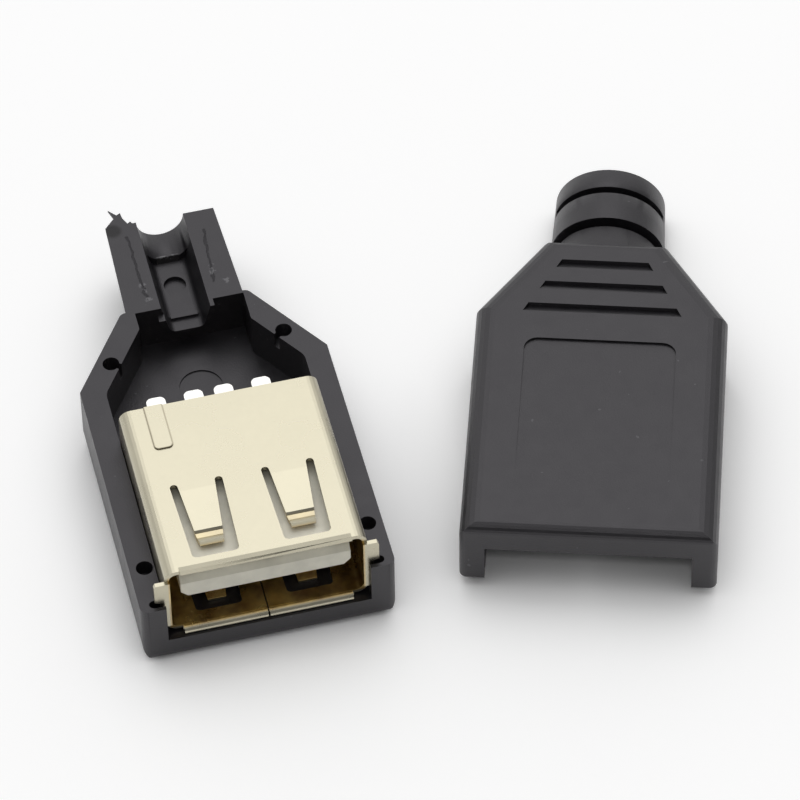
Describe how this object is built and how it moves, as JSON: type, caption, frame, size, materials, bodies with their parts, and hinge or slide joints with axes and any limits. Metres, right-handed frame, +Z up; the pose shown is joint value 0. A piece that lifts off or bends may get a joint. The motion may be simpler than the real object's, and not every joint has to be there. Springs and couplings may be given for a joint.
{
  "type": "usb-a cable socket",
  "caption": "Solder-type cable socket, opened up: metal receptacle seated in one plastic half shell, the other half shell standing beside it.",
  "frame": {"origin": "middle of the base shell's flat underside", "axes": "+Y from the plug mouth to the cable neck of the base shell, +Z up out of its open side, +X towards the cover shell"},
  "size_m": [0.0423, 0.0375, 0.008],
  "materials": {
    "housing_plastic": "fine satin black moulding",
    "nickel_sheet": "satin nickel plate, warm tone",
    "white_plastic": "smooth off-white moulding",
    "tinned_contact": "bright tin plate"
  },
  "bodies": {
    "root": {"base_shell": "housing_plastic", "cover_shell": "housing_plastic", "shield": "nickel_sheet", "insulator": "white_plastic", "contact_1": "tinned_contact", "contact_2": "tinned_contact", "contact_3": "tinned_contact", "contact_4": "tinned_contact"}
  },
  "joints": []
}
